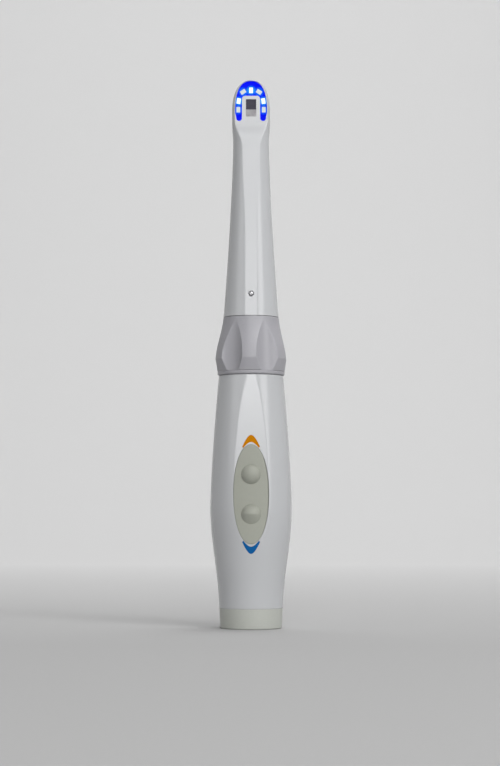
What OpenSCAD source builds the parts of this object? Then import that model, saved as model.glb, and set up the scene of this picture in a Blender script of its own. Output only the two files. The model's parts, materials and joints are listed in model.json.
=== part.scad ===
// Handheld intraoral camera that stands on its flat base cap.
// Origin at the centre of the base, +Z up the handle, window and buttons face -Y.
// All sizes are in millimetres.

/* [Base cap] */
// Radius of the base cap at the table
base_r = 11.45; // [10.5:0.05:11.8]
// Height of the base cap
base_h = 7.5; // [6:0.1:10]
// Small round on the bottom edge of the base cap
base_edge = 0.5; // [0.2:0.1:0.8]
// Height of the spigot that the base cap pushes into the shells
base_spigot_h = 6; // [4:0.5:8]
// Radius of the charging inlet
inlet_r = 4.0; // [3:0.1:5]
// Depth of the charging inlet
inlet_depth = 3.0; // [2:0.1:4]
// Distance of the two base screws from the axis
base_screw_x = 7.4; // [6.8:0.1:7.6]

/* [Handle] */
// Radius of the shells at the base cap seam
handle_base_r = 11.95; // [11.9:0.05:12.5]
// Largest radius of the handle
belly_r = 15.3; // [15:0.1:16]
// Height of the largest radius above the table
belly_z = 44; // [42:1:48]
// Radius of the shells at the focus ring seam
handle_top_r = 12.1; // [11.9:0.1:12.6]
// Height of the handle's top above the table
handle_top = 94.2; // [92:0.1:96]
// Wall thickness of the two handle shells
shell_wall = 1.8; // [1.4:0.1:2]
// Lean of the flat front facet from upright, in degrees
facet_tilt = 2.05; // [1.9:0.05:2.2]
// Distance of the facet from the axis at the middle of the button pad
facet_y = 13.64; // [13.5:0.02:13.8]

/* [Button pad] */
// Height of the middle of the oval pad above the table
pad_z = 49.75; // [48:0.25:52]
// Width of the oval pad
pad_w = 12.9; // [12.6:0.1:13.2]
// Height of the oval pad
pad_h = 36.5; // [34:0.5:38]
// Fullness of the oval, 2 for a true ellipse
pad_power = 2.12; // [2:0.02:2.4]
// Shadow gap between the pad and the shell
pad_gap = 0.15; // [0.1:0.05:0.3]
// Width of the flange that holds the pad behind the shell
pad_flange = 1.1; // [0.8:0.1:1.4]
// Thickness of that flange
pad_flange_t = 1.0; // [0.8:0.1:1.2]
// Radius of the crown across the pad's face
pad_crown_r = 34; // [30:1:60]
// Distance from the middle of one button to the other
button_pitch = 14.7; // [14:0.1:16]
// Radius of a button's dome
dome_r = 3.6; // [3.4:0.1:3.8]
// Height of a button's dome above the pad
dome_h = 2.1; // [1.6:0.05:2.4]
// Travel of a button when it is pressed
button_travel = 0.5; // [0.3:0.05:0.6]
// Thickness of the coloured marker inlays
marker_t = 0.5; // [0.3:0.05:0.8]

/* [Focus ring] */
// Radius of the ring at its widest
ring_r = 13.87; // [13.6:0.05:14.2]
// Radius of the lip at the ring's foot
ring_lip_r = 12.6; // [12.4:0.1:12.8]
// Radius of the ring at its top seam
ring_top_r = 10.45; // [10.4:0.05:10.6]
// Height of the ring
ring_h = 21.8; // [21:0.1:23]
// Number of finger scallops
scallops = 6; // [4:1:8]
// Radius of a scallop's hollow
scallop_r = 8; // [7:0.5:10]
// Distance from the axis to the scallop floor at the foot
scallop_foot = 12.1; // [11.9:0.05:12.3]
// Distance from the axis to the scallop floor at the top
scallop_top = 10.5; // [10.4:0.05:10.6]
// Turn of the ring from one end of its travel to the other, in degrees
ring_turn = 120; // [90:10:150]
// Travel of the lens from one end to the other
focus_travel = 1.6; // [1:0.1:2]
// Running gap above and below the ring
ring_gap = 0.15; // [0.1:0.05:0.25]

/* [Focus mechanism] */
// Outer radius of the fixed guide tube
tube_r = 7.0; // [6.8:0.1:7.2]
// Wall of the guide tube
tube_wall = 1.4; // [1.2:0.1:1.6]
// Wall of the cam sleeve
cam_wall = 1.9; // [1.6:0.1:2]
// Radius of the follower pin
pin_r = 1.0; // [0.8:0.1:1.2]
// Radius of the push rod
rod_r = 0.7; // [0.6:0.05:0.8]
// Sideways place of the push rod
rod_x = -3.7; // [-3.8:0.05:-3.6]
// Height of the follower pin above the middle of the cam sleeve
pin_rise = 1.4; // [1:0.1:1.8]
// Radial gap of every running fit
run_gap = 0.05; // [0.03:0.01:0.08]

/* [Neck and head] */
// Radius of the neck at the focus ring
neck_base_r = 10.35; // [10.2:0.05:10.5]
// Radius of the neck at its waist
waist_r = 6.8; // [6.7:0.05:7]
// Distance of the waist below the top of the head
waist_drop = 25; // [24:0.5:27]
// Half of the head's width
head_r = 7.2; // [7.1:0.05:7.4]
// Height of the head's rounded top
head_cap_h = 12; // [11.6:0.1:12.4]
// Overall height of the camera
total_h = 206; // [204:0.5:208]
// Wall thickness of the neck
neck_wall = 1.5; // [1.3:0.1:1.6]
// Half width of the flat facet on the lower neck
neck_flat = 2.2; // [1.8:0.1:2.6]
// Half width of the flat facet at the waist
waist_flat = 3.3; // [3:0.1:3.6]
// Half width of the flat face of the head
head_flat = 6.25; // [6.1:0.05:6.35]
// Radius of the neck's fixing screw
neck_screw_r = 1.0; // [0.8:0.1:1.2]
// Height of that screw up the tube's collar, as a share of the collar's height
neck_screw_share = 0.55; // [0.45:0.01:0.65]

/* [Lights and optics] */
// Depth of the channel that holds the light board
channel_depth = 1.9; // [1.7:0.05:2]
// Half width between the legs of the light arch
arch_inner = 3.4; // [3.2:0.05:3.5]
// Distance from the arch's inner edge up to the top of the head
arch_band = 6.0; // [5.6:0.1:6.4]
// Height of the arch's inner edge above the tips of its legs
arch_leg_h = 9.6; // [9.2:0.1:9.8]
// Rim of housing left round the outside of the arch
arch_rim = 0.2; // [0.15:0.05:0.3]
// Width of one light emitter
led_w = 1.4; // [1.2:0.1:1.6]
// Height of one light emitter
led_h = 2.0; // [1.6:0.1:2.1]
// Thickness of one light emitter
led_t = 0.5; // [0.4:0.05:0.6]
// Width of the camera window
window_w = 3.9; // [3.6:0.1:4.1]
// Height of the camera window
window_h = 6.6; // [6:0.1:6.8]
// Distance of the window below the arch's inner edge
window_drop = 1.3; // [1:0.1:1.5]
// Side of the square aperture in front of the prism
aperture = 3.3; // [3:0.1:3.4]
// Side of the prism
prism_side = 4.2; // [4:0.1:4.4]
// Radius of the lens barrel
barrel_r = 2.5; // [2.3:0.1:2.6]
// Length of the lens barrel
barrel_h = 5; // [4:0.5:5.5]

/* [Inside the handle] */
// Radius of the rechargeable cell
cell_r = 7.0; // [6.8:0.1:7.1]
// Length of the rechargeable cell
cell_h = 49; // [44:1:50]
// Thickness of the main board
board_t = 1.2; // [1:0.1:1.6]
// Width of the main board
board_w = 16; // [14:0.5:17]
// Length of the main board
board_h = 68; // [60:1:68]

/* [Hidden] */

// Smoothness of round solids and of outlines
$fn = 96;
// A length that carries a cut cleanly past a face
past = 1;
// Gap between two fixed pieces that slide together
fit_gap = 0.05;
// Gap beside parts that move past each other in the open
free_gap = 0.3;

// Handle

// Share of a plain slope in the handle's lower curve
slope_share = 0.15;
// Bend of the handle's upper curve
upper_bend = 1.45;
// Number of steps along each curve of the handle
curve_steps = 18;

function ease(t) = (1 - cos(180 * t)) / 2;
function lower_share(t) = (1 - slope_share) * ease(t) + slope_share * t;

function handle_r(z) =
    z < belly_z
        ? handle_base_r
            + (belly_r - handle_base_r) * lower_share((z - base_h) / (belly_z - base_h))
        : belly_r
            - (belly_r - handle_top_r)
            * pow((z - belly_z) / (handle_top - belly_z), upper_bend);

handle_zs = concat(
    [for (i = [0 : curve_steps]) base_h + (belly_z - base_h) * i / curve_steps],
    [for (i = [1 : curve_steps]) belly_z + (handle_top - belly_z) * i / curve_steps]
);

// A solid of revolution of the handle's curve, drawn in by the given inset
// and carried past both ends by the given length
module handle_barrel(inset, beyond) {
    rotate_extrude()
        polygon(concat(
            [[0, base_h - beyond]],
            beyond > 0 ? [[handle_base_r - inset, base_h - beyond]] : [],
            [for (z = handle_zs) [handle_r(z) - inset, z]],
            beyond > 0 ? [[handle_top_r - inset, handle_top + beyond]] : [],
            [[0, handle_top + beyond]]
        ));
}

// Places children on the facet: local +Z points out of it, local +Y up it
module on_facet(up = 0, out = 0) {
    translate([0, -facet_y, pad_z])
        rotate([90 - facet_tilt, 0, 0])
            translate([0, up, out])
                children();
}

// Everything that lies outside the facet, or outside a plane behind it
module facet_cut(inset) {
    on_facet(0, -inset)
        translate([-belly_r, -handle_top, 0])
            cube([2 * belly_r, 2 * handle_top, belly_r]);
}

// The handle with its flat facet, drawn in by the given inset
module handle_solid(inset, beyond = 0) {
    difference() {
        handle_barrel(inset, beyond);
        facet_cut(inset);
    }
}

// The rib inside the shells that the guide tube is clamped to
module tube_rib() {
    difference() {
        intersection() {
            handle_solid(shell_wall / 2);
            translate([-belly_r, -belly_r, rib_z])
                cube([2 * belly_r, 2 * belly_r, rib_h]);
        }
        translate([0, 0, rib_z - past])
            cylinder(r = rib_r, h = rib_h + 2 * past);
    }
}

module shell_half(front) {
    intersection() {
        union() {
            difference() {
                handle_solid(0);
                handle_solid(shell_wall, past);
            }
            tube_rib();
        }
        translate([-belly_r - past, front ? -belly_r - past : 0, base_h])
            cube([2 * (belly_r + past), belly_r + past, handle_top - base_h]);
    }
}

// Oval outline of the button pad, grown by the given amount
function oval(grow) = [
    for (i = [0 : pad_steps - 1])
        let (
            angle = 360 * i / pad_steps,
            c = cos(angle),
            s = sin(angle)
        )
        [
            (pad_w / 2 + grow) * sign(c) * pow(abs(c), 2 / pad_power),
            (pad_h / 2 + grow) * sign(s) * pow(abs(s), 2 / pad_power)
        ]
];
pad_steps = 64;

module handle_front_shell() {
    color("white")
        difference() {
            shell_half(true);
            on_facet(0, -shell_wall - past)
                linear_extrude(shell_wall + 2 * past)
                    polygon(oval(pad_gap));
            on_facet(0, -pad_back - fit_gap)
                linear_extrude(pad_flange_t + fit_gap)
                    polygon(oval(pad_flange + fit_gap));
            for (side = [-1, 1])
                difference() {
                    marker_zone(side, past);
                    handle_solid(marker_t);
                }
        }
}

module handle_rear_shell() {
    color("white")
        shell_half(false);
}

// Markers

// Reach of a marker's peak past the pad, its band width and its half width
marker_peak = 3.6;
marker_thick = 2.6;
marker_half = 3.25;
marker_drop = 4.3;
marker_steps = 12;

function marker_curve(side, peak, half, drop, back) = [
    for (i = [0 : marker_steps])
        let (
            k = back ? marker_steps - i : i,
            u = 2 * k / marker_steps - 1
        )
        [half * u, side * (peak - drop * pow(abs(u), 1.6))]
];

function marker_outline(side) =
    let (peak = pad_h / 2 + marker_peak)
    concat(
        marker_curve(side, peak, marker_half, marker_drop, false),
        marker_curve(side, peak - marker_thick, marker_half - 0.35,
            marker_drop - marker_thick + 0.5, true)
    );

// The marker's outline drawn through the skin of the handle
module marker_zone(side, out) {
    on_facet(0, -2 * shell_wall)
        linear_extrude(2 * shell_wall + out)
            polygon(marker_outline(side));
}

module marker(side) {
    difference() {
        intersection() {
            marker_zone(side, 0.5);
            handle_solid(0);
        }
        handle_solid(marker_t);
    }
}

module upper_marker() {
    color("darkorange")
        marker(1);
}

module lower_marker() {
    color("steelblue")
        marker(-1);
}

// Button pad, buttons and their switches

// How far the pad's middle stands out of the facet
pad_proud = 0.1;
// Gap between a button and the hole in the pad
button_gap = 0.1;
// Retaining flange of a button behind the pad
button_flange = 1.0;
button_flange_t = 0.7;
pad_back = shell_wall + pad_flange_t;
// Switch case and the plunger that a button pushes into it
switch_w = 5.2;
switch_h = 2.0;
plunger_r = 1.5;
plunger_h = 1.0;
// Thickness of the button board
button_board_t = 1.0;
// Distance behind the facet of each layer under the pad
flange_front = pad_back + fit_gap;
flange_back = flange_front + button_flange_t;
plunger_front = flange_back;
switch_front = plunger_front + plunger_h;
switch_back = switch_front + switch_h;
button_board_back = switch_back + button_board_t;

module pad_crown() {
    translate([0, 0, pad_proud - pad_crown_r])
        rotate([90, 0, 0])
            cylinder(r = pad_crown_r, h = pad_h + 2 * past, center = true, $fn = 360);
}

module button_pad() {
    color([0.66, 0.66, 0.62])
        on_facet()
            difference() {
                union() {
                    intersection() {
                        translate([0, 0, -shell_wall])
                            linear_extrude(shell_wall + pad_proud)
                                polygon(oval(0));
                        pad_crown();
                    }
                    translate([0, 0, -pad_back])
                        linear_extrude(pad_flange_t)
                            polygon(oval(pad_flange));
                }
                for (side = [-1, 1])
                    translate([0, side * button_pitch / 2, -pad_back - past])
                        cylinder(r = dome_r + button_gap, h = pad_back + 2 * past);
            }
}

// Stem and retaining flange of a button, from its dome inwards
module button_body() {
    translate([0, 0, -flange_front])
        cylinder(r = dome_r, h = flange_front);
    translate([0, 0, -flange_back])
        cylinder(r = dome_r + button_flange, h = button_flange_t);
}

// A low round dome of the given height
module dome(height) {
    sphere_r = (dome_r * dome_r + height * height) / (2 * height);
    intersection() {
        translate([0, 0, height - sphere_r])
            sphere(r = sphere_r);
        cylinder(r = dome_r, h = height + past);
    }
}

module upper_button() {
    color([0.66, 0.66, 0.62])
        on_facet(button_pitch / 2) {
            button_body();
            dome(dome_h);
        }
}

// Slope of each side of the crest across the lower dome, in degrees
crest_lean = 24;
// How much taller the lower dome's round is before the crest is cut
crest_rise = 0.3;

module crest_side(lean) {
    translate([0, 0, dome_h])
        rotate([lean, 0, 0])
            translate([-2 * dome_r, -2 * dome_r, -4 * dome_r])
                cube([4 * dome_r, 4 * dome_r, 4 * dome_r]);
}

module lower_button() {
    color([0.66, 0.66, 0.62])
        on_facet(-button_pitch / 2) {
            button_body();
            intersection() {
                dome(dome_h + crest_rise);
                crest_side(crest_lean);
                crest_side(-crest_lean);
            }
        }
}

module switch_case() {
    color("dimgray")
        difference() {
            translate([-switch_w / 2, -switch_w / 2, -switch_back])
                cube([switch_w, switch_w, switch_h]);
            translate([0, 0, -switch_front - button_travel - free_gap])
                cylinder(r = plunger_r + run_gap, h = button_travel + free_gap + past);
        }
}

module plunger() {
    color("black")
        translate([0, 0, -switch_front])
            cylinder(r = plunger_r, h = plunger_h);
}

module upper_switch() {
    on_facet(button_pitch / 2)
        switch_case();
}

module lower_switch() {
    on_facet(-button_pitch / 2)
        switch_case();
}

module upper_plunger() {
    on_facet(button_pitch / 2)
        plunger();
}

module lower_plunger() {
    on_facet(-button_pitch / 2)
        plunger();
}

button_board_w = 12;
button_board_h = 30;

module button_board() {
    color("darkgreen")
        on_facet(0, -button_board_back)
            translate([-button_board_w / 2, -button_board_h / 2, 0])
                cube([button_board_w, button_board_h, button_board_t]);
}

// Base cap

// Radius of the base cap at the shell seam, a little inside the shells
base_step = 0.1;
base_top_r = handle_base_r - base_step;
// Spigot that the shells are pushed over
spigot_r = handle_base_r - shell_wall - fit_gap;
spigot_wall = 1.6;
// Base screws, sunk a little into the cap
screw_head_r = 1.6;
screw_head_h = 1.2;
screw_r = 0.9;
screw_inset = 0.2;
// Length of a base screw inside the frame
screw_grip = 2.5;
screw_top = base_h + base_spigot_h + fit_gap + screw_grip;
// Charging socket: its insulator, its centre stud and its contact ring
socket_r = 5;
socket_out = 0.8;
socket_h = base_h - inlet_depth + socket_out;
stud_r = 1.1;
contact_ring_r = 3.3;
contact_ring_w = 0.8;
contact_h = 1.6;

module base_cap() {
    color([0.71, 0.72, 0.69])
        difference() {
            rotate_extrude()
                polygon(concat(
                    [[0, 0]],
                    [for (i = [0 : 4])
                        let (angle = -90 + 90 * i / 4)
                        [
                            base_r - base_edge + base_edge * cos(angle),
                            base_edge + base_edge * sin(angle)
                        ]
                    ],
                    [
                        [base_top_r, base_h],
                        [spigot_r, base_h],
                        [spigot_r, base_h + base_spigot_h],
                        [spigot_r - spigot_wall, base_h + base_spigot_h],
                        [spigot_r - spigot_wall, base_h],
                        [0, base_h]
                    ]
                ));
            translate([0, 0, -past])
                cylinder(r = inlet_r, h = inlet_depth + past);
            translate([0, 0, inlet_depth])
                cylinder(r = socket_r + fit_gap, h = base_h);
            for (side = [-1, 1])
                translate([side * base_screw_x, 0, -past]) {
                    cylinder(r = screw_head_r + run_gap, h = screw_head_h + past, $fn = 48);
                    cylinder(r = screw_r + run_gap, h = base_h + 2 * past, $fn = 48);
                }
        }
}

module base_screws() {
    color("silver")
        for (side = [-1, 1])
            translate([side * base_screw_x, 0, 0])
                difference() {
                    union() {
                        translate([0, 0, screw_inset])
                            cylinder(r = screw_head_r, h = screw_head_h - screw_inset, $fn = 48);
                        translate([0, 0, screw_head_h - run_gap])
                            cylinder(r = screw_r, h = screw_top - screw_head_h, $fn = 48);
                    }
                    translate([0, 0, -past])
                        cylinder(r = screw_head_r / 2, h = past + screw_head_h * 0.7, $fn = 6);
                }
}

module charging_socket() {
    color("dimgray")
        difference() {
            translate([0, 0, inlet_depth])
                cylinder(r = socket_r, h = socket_h);
            translate([0, 0, inlet_depth - past])
                cylinder(r = stud_r + fit_gap, h = socket_h + 2 * past);
            translate([0, 0, inlet_depth - past])
                difference() {
                    cylinder(r = contact_ring_r + fit_gap, h = past + contact_h + fit_gap);
                    cylinder(r = contact_ring_r - contact_ring_w - fit_gap,
                        h = past + contact_h + fit_gap);
                }
        }
}

module charging_contacts() {
    color("gold") {
        translate([0, 0, inlet_depth])
            cylinder(r = stud_r, h = socket_h + 1);
        translate([0, 0, inlet_depth])
            difference() {
                cylinder(r = contact_ring_r, h = contact_h);
                translate([0, 0, -past])
                    cylinder(r = contact_ring_r - contact_ring_w, h = contact_h + 2 * past);
            }
    }
}

// Inner frame, boards and cell

// Place of the cell behind the axis, the round on its ends and its raised cap
cell_y = 3.6;
cell_edge = 0.6;
cell_cap_r = 2.8;
cell_cap_h = 1.0;
// Room for a contact at each end of the cell, and the upper contact's width
contact_gap = 1.0;
contact_w = 8;
// Thickness of the frame's two discs, and the rails between them
frame_disc = 3;
frame_z = base_h + base_spigot_h + fit_gap;
cell_z = frame_z + frame_disc + contact_gap;
cell_space = cell_h + cell_cap_h + 1.5 * contact_gap;
frame_top = frame_z + 2 * frame_disc + cell_space;
rail_w = 1.5;
rail_d = 6;
board_back_y = cell_y - cell_r - free_gap;
board_rise = 1.5;
board_z = frame_z + board_rise;
// Parts on the main board: the processor and the wireless module's can
chip_side = 9;
chip_t = 0.9;
chip_rise = 2;
chip_z = pad_z + pad_h / 2 + chip_rise;
can_w = 10;
can_t = 1.8;
can_h = 14;
can_rise = 1;
// Spacers between the boards, by their distance from the pad's middle
spacer_r = 1.2;
spacer_z = 11.5;
// Flat cable from the sensor down to its connector
ribbon_w = 4.6;
ribbon_t = 0.25;
ribbon_y = 3.75;
connector_t = 1.6;
connector_h = 3;
connector_rise = 1.5;
connector_z = frame_top + connector_rise;
connector_side = 0.8;

// The space inside the shells, less a sliding gap
module inside_shells(z, h) {
    intersection() {
        handle_solid(shell_wall + fit_gap + 0.05);
        translate([-belly_r, -belly_r, z])
            cube([2 * belly_r, 2 * belly_r, h]);
    }
}

module inner_frame() {
    color("gray")
        difference() {
            union() {
                inside_shells(frame_z, frame_disc);
                inside_shells(frame_top - frame_disc, frame_disc);
                for (side = [-1, 1])
                    translate([
                        side * (cell_r + free_gap + rail_w / 2) - rail_w / 2,
                        board_back_y,
                        frame_z
                    ])
                        cube([rail_w, rail_d, frame_top - frame_z]);
            }
            translate([-belly_r, board_back_y - belly_r, frame_z - past])
                cube([2 * belly_r, belly_r, frame_top - frame_z + 2 * past]);
            translate([0, cell_y, frame_z + frame_disc])
                cylinder(r = cell_r + fit_gap, h = cell_space);
            for (side = [-1, 1])
                translate([side * base_screw_x, 0, frame_z - past])
                    cylinder(r = screw_r + run_gap, h = frame_disc + 2 * past, $fn = 48);
        }
}

module main_board() {
    color("darkgreen")
        translate([-board_w / 2, board_back_y - board_t, board_z])
            cube([board_w, board_t, board_h]);
}

module image_processor() {
    color([0.12, 0.12, 0.13])
        translate([-chip_side / 2, board_back_y - board_t - chip_t, chip_z])
            cube([chip_side, chip_t, chip_side]);
}

module wireless_module() {
    color("silver")
        translate([-can_w / 2, board_back_y - board_t - can_t, board_z + can_rise])
            cube([can_w, can_t, can_h]);
}

module board_spacers() {
    color("gold")
        for (up = [-1, 1])
            intersection() {
                translate([0, board_back_y - board_t, pad_z + up * spacer_z])
                    rotate([90, 0, 0])
                        cylinder(r = spacer_r, h = facet_y, $fn = 48);
                on_facet(0, -button_board_back)
                    translate([-belly_r, -pad_h, -belly_r])
                        cube([2 * belly_r, 2 * pad_h, belly_r]);
            }
}

module ribbon_connector() {
    color([0.85, 0.82, 0.72])
        translate([-ribbon_w / 2 - connector_side, board_back_y, connector_z])
            cube([ribbon_w + 2 * connector_side, connector_t, connector_h]);
}

module battery_cell() {
    color("royalblue")
        translate([0, cell_y, cell_z])
            rotate_extrude()
                polygon([
                    [0, 0], [cell_r - cell_edge, 0], [cell_r, cell_edge],
                    [cell_r, cell_h - cell_edge], [cell_r - cell_edge, cell_h],
                    [cell_cap_r, cell_h], [cell_cap_r, cell_h + cell_cap_h],
                    [0, cell_h + cell_cap_h]
                ]);
}

module battery_contacts() {
    color("gold") {
        translate([0, cell_y, frame_z + frame_disc])
            cylinder(r1 = cell_r - 1, r2 = cell_r - 3, h = contact_gap);
        translate([-contact_w / 2, cell_y - contact_w / 2, cell_z + cell_h + cell_cap_h])
            cube([contact_w, contact_w, contact_gap / 2]);
    }
}

// Focus mechanism

// Levels from the handle's top upwards
tube_in = tube_r - tube_wall;
ring_z = handle_top + ring_gap;
neck_z = ring_z + ring_h + ring_gap;
waist_z = total_h - waist_drop;
head_z = total_h - head_cap_h;
// The tube's collar fills the mouth of the shells, on a rib inside them
flange_h = 4;
flange_z = handle_top - flange_h;
collar_gap = 0.15;
collar_r = handle_top_r - shell_wall - collar_gap;
rib_h = 1.3;
rib_z = flange_z - fit_gap - rib_h;
rib_gap = 0.4;
rib_r = tube_r + rib_gap;
// Nut that clamps the tube to the rib, with four notches for a spanner
nut_h = 3;
nut_r = 9.5;
notch_d = 1;
notch_w = 2;
tube_end = 0.8;
tube_z = rib_z - fit_gap - nut_h - tube_end;
// The neck sits on the tube's upper collar, which fills a share of its length
neck_bore_r = 8.3;
neck_collar_r = neck_bore_r - fit_gap;
collar_share = 0.227;
neck_collar_top = neck_z + collar_share * (waist_z - neck_z);
neck_screw_z = neck_z + neck_screw_share * (neck_collar_top - neck_z);
// Half of the slot in the tube that the pin slides in
pin_room = 0.25;
slot_half = focus_travel / 2 + pin_r + pin_room;
// Seal under the ring and washer on top of it
seal_r = 0.55;
seal_mid_r = 8.6;
washer_r = 9.4;
washer_t = 0.8;
washer_z = neck_z - fit_gap - washer_t;
washer_seat = washer_t + fit_gap + run_gap - ring_gap;
cam_r = tube_r + run_gap + cam_wall;
// Thickness of the ring between the cam sleeve and the washer
cam_cover = 2.55;
cam_h = ring_h - washer_seat - cam_cover;
pin_z = ring_z + cam_h / 2 + pin_rise;
// Height on the ring where its foot stops widening
ring_wide_z = 6.0;
// Height of the lip, where the scallops start
ring_foot = 1.3;
// Turn of the ring's pattern away from the front
ring_set = -3;
// Reach of the cam slot past the pin's last place, in degrees
slot_end = 10;
slot_steps = 24;
// Carriage: the pin's inner end, its height, and the push rod's place and seat
pin_root = 2.5;
carriage_h = 9;
rod_y = 1.0;
rod_seat = 1;
// Web of the tube left behind the neck screw
screw_web = 0.3;

module guide_tube() {
    color("silver")
        difference() {
            rotate_extrude()
                polygon([
                    [tube_in, tube_z], [tube_r, tube_z],
                    [tube_r, flange_z], [collar_r, flange_z],
                    [collar_r, handle_top], [tube_r, handle_top],
                    [tube_r, neck_z], [neck_collar_r, neck_z],
                    [neck_collar_r, neck_collar_top], [tube_in, neck_collar_top]
                ]);
            translate([0, 0, handle_top - seal_r * 2])
                difference() {
                    cylinder(r = seal_mid_r + seal_r + fit_gap, h = seal_r * 2 + past);
                    translate([0, 0, -past])
                        cylinder(r = seal_mid_r - seal_r - fit_gap, h = seal_r * 2 + 3 * past);
                }
            translate([0, -pin_r - run_gap, pin_z - slot_half])
                cube([tube_r + past, 2 * (pin_r + run_gap), 2 * slot_half]);
            translate([0, -neck_collar_r - past, neck_screw_z])
                rotate([-90, 0, 0])
                    cylinder(r = neck_screw_r, h = neck_collar_r + past - tube_in - screw_web, $fn = 48);
        }
}

module tube_nut() {
    color("silver")
        translate([0, 0, rib_z - nut_h - fit_gap])
            difference() {
                cylinder(r = nut_r, h = nut_h);
                translate([0, 0, -past])
                    cylinder(r = tube_r + fit_gap, h = nut_h + 2 * past);
                for (i = [0 : 3])
                    rotate(90 * i)
                        translate([nut_r - notch_d, -notch_w / 2, -past])
                            cube([notch_d + past, notch_w, nut_h + 2 * past]);
            }
}

module lower_seal() {
    color("black")
        translate([0, 0, handle_top - seal_r + fit_gap])
            rotate_extrude()
                translate([seal_mid_r, 0])
                    circle(r = seal_r, $fn = 32);
}

module thrust_washer() {
    color("ivory")
        translate([0, 0, washer_z])
            difference() {
                cylinder(r = washer_r, h = washer_t);
                translate([0, 0, -past])
                    cylinder(r = tube_r + fit_gap, h = washer_t + 2 * past);
            }
}

// Outline of the ring above its foot: the lip, the shoulder and the long curve
function ring_body() = [
    [ring_lip_r - lip_edge, 0], [ring_lip_r, lip_edge],
    [ring_lip_r, ring_foot - lip_groove], [ring_lip_r - lip_groove, ring_foot],
    [ring_lip_r + 2 * lip_groove, ring_foot + 3 * lip_groove],
    for (i = [0 : ring_steps])
        let (t = i / ring_steps)
        [
            ring_r - (ring_r - ring_top_r) * (0.7 * ease(t) + 0.3 * t),
            ring_wide_z + (ring_h - ring_wide_z) * t
        ]
];
ring_steps = 10;
// Bevel under the lip and depth of the fine groove on top of it
lip_edge = 0.35;
lip_groove = 0.1;

// A leaning hollow with a flat foot on top of the lip
module scallop() {
    slope = atan((scallop_foot - scallop_top) / (ring_h - ring_foot));
    shelf = ring_z + ring_foot + lip_groove;
    intersection() {
        translate([scallop_foot + scallop_r, 0, ring_z + ring_foot])
            rotate([0, -slope, 0])
                translate([0, 0, -2 * past])
                    cylinder(r = scallop_r, h = ring_h + 4 * past);
        translate([0, -scallop_r, shelf])
            cube([2 * ring_r, 2 * scallop_r, ring_h]);
    }
}

module focus_ring() {
    color([0.66, 0.66, 0.69])
        difference() {
            translate([0, 0, ring_z])
                rotate_extrude()
                    polygon(concat([[cam_r + fit_gap, 0]], ring_body(),
                        [
                            [washer_r + run_gap, ring_h],
                            [washer_r + run_gap, ring_h - washer_seat],
                            [tube_r + free_gap, ring_h - washer_seat],
                            [tube_r + free_gap, cam_h + fit_gap],
                            [cam_r + fit_gap, cam_h + fit_gap]
                        ]));
            for (i = [0 : scallops - 1])
                rotate(-90 + ring_set + (i + 0.5) * 360 / scallops)
                    scallop();
        }
}

// Helical slot of the cam: the follower's path as the ring turns
function cam_ring(turn) =
    let (
        rise = -focus_travel * turn / ring_turn,
        half = pin_r + run_gap + 0.01,
        near = tube_r - past,
        far = cam_r + past
    )
    [
        [near * cos(turn), near * sin(turn), rise - half],
        [near * cos(turn), near * sin(turn), rise + half],
        [far * cos(turn), far * sin(turn), rise + half],
        [far * cos(turn), far * sin(turn), rise - half]
    ];

module cam_slot() {
    reach = ring_turn / 2 + slot_end;
    rings = [for (i = [0 : slot_steps]) cam_ring(-reach + 2 * reach * i / slot_steps)];
    translate([0, 0, pin_z])
        skin(rings);
}

module cam_sleeve() {
    color("goldenrod")
        difference() {
            translate([0, 0, ring_z])
                cylinder(r = cam_r, h = cam_h);
            translate([0, 0, ring_z - past])
                cylinder(r = tube_r + run_gap, h = cam_h + 2 * past);
            cam_slot();
        }
}

module follower_pin() {
    color("silver")
        translate([pin_root, 0, pin_z])
            rotate([0, 90, 0])
                cylinder(r = pin_r, h = cam_r - free_gap - pin_root, $fn = 48);
}

module focus_carriage() {
    color("goldenrod")
        difference() {
            translate([0, 0, pin_z - carriage_h / 2])
                cylinder(r = tube_in - run_gap, h = carriage_h);
            translate([-tube_r, ribbon_y - free_gap, pin_z - carriage_h])
                cube([2 * tube_r, tube_r, 2 * carriage_h]);
            translate([pin_root, 0, pin_z])
                rotate([0, 90, 0])
                    cylinder(r = pin_r, h = tube_r, $fn = 48);
            translate([rod_x, rod_y, pin_z - rod_seat])
                cylinder(r = rod_r, h = carriage_h, $fn = 48);
        }
}

module push_rod() {
    color("silver")
        translate([rod_x, rod_y, pin_z - rod_seat])
            cylinder(r = rod_r, h = barrel_z + barrel_h - past + rod_seat - pin_z, $fn = 48);
}

// Neck and head

// Bend of the neck's long taper
neck_bend = 1.38;
// Height at which the flat reaches the head's full width
face_drop = 15;
face_z = total_h - face_drop;
// Height at which the flat starts to widen, as a share of the neck's length
flare_share = 0.444;
flare_z = neck_z + flare_share * (waist_z - neck_z);
// Distance of the head's flat face from the axis
face_y = sqrt(head_r * head_r - head_flat * head_flat);
// Wall left behind the light channel
channel_floor = 0.8;
arc_steps = 40;
flat_steps = 4;
// Depth of the round recess about the neck screw, and its rim past the screw
screw_sink = 0.4;
screw_rim = 0.25;
// Height of the neck screw's domed head, and its hexagon socket
screw_dome = 0.45;
screw_socket_r = 0.35;
screw_socket_h = 0.6;
// Light arch: outer reach of a leg's tip and the inner corner's radius
leg_tip = 5.0;
arch_corner = 1.2;
// Layers in the head's face, and the rim above the aperture
light_board_t = 0.6;
cover_t = 0.65;
glass_t = 0.5;
glass_sink = 0.1;
aperture_rim = 0.15;
// Levels of the arch and the window
arch_inner_top = total_h - arch_band;
arch_foot = arch_inner_top - arch_leg_h;
window_z = arch_inner_top - window_drop - window_h;
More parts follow.
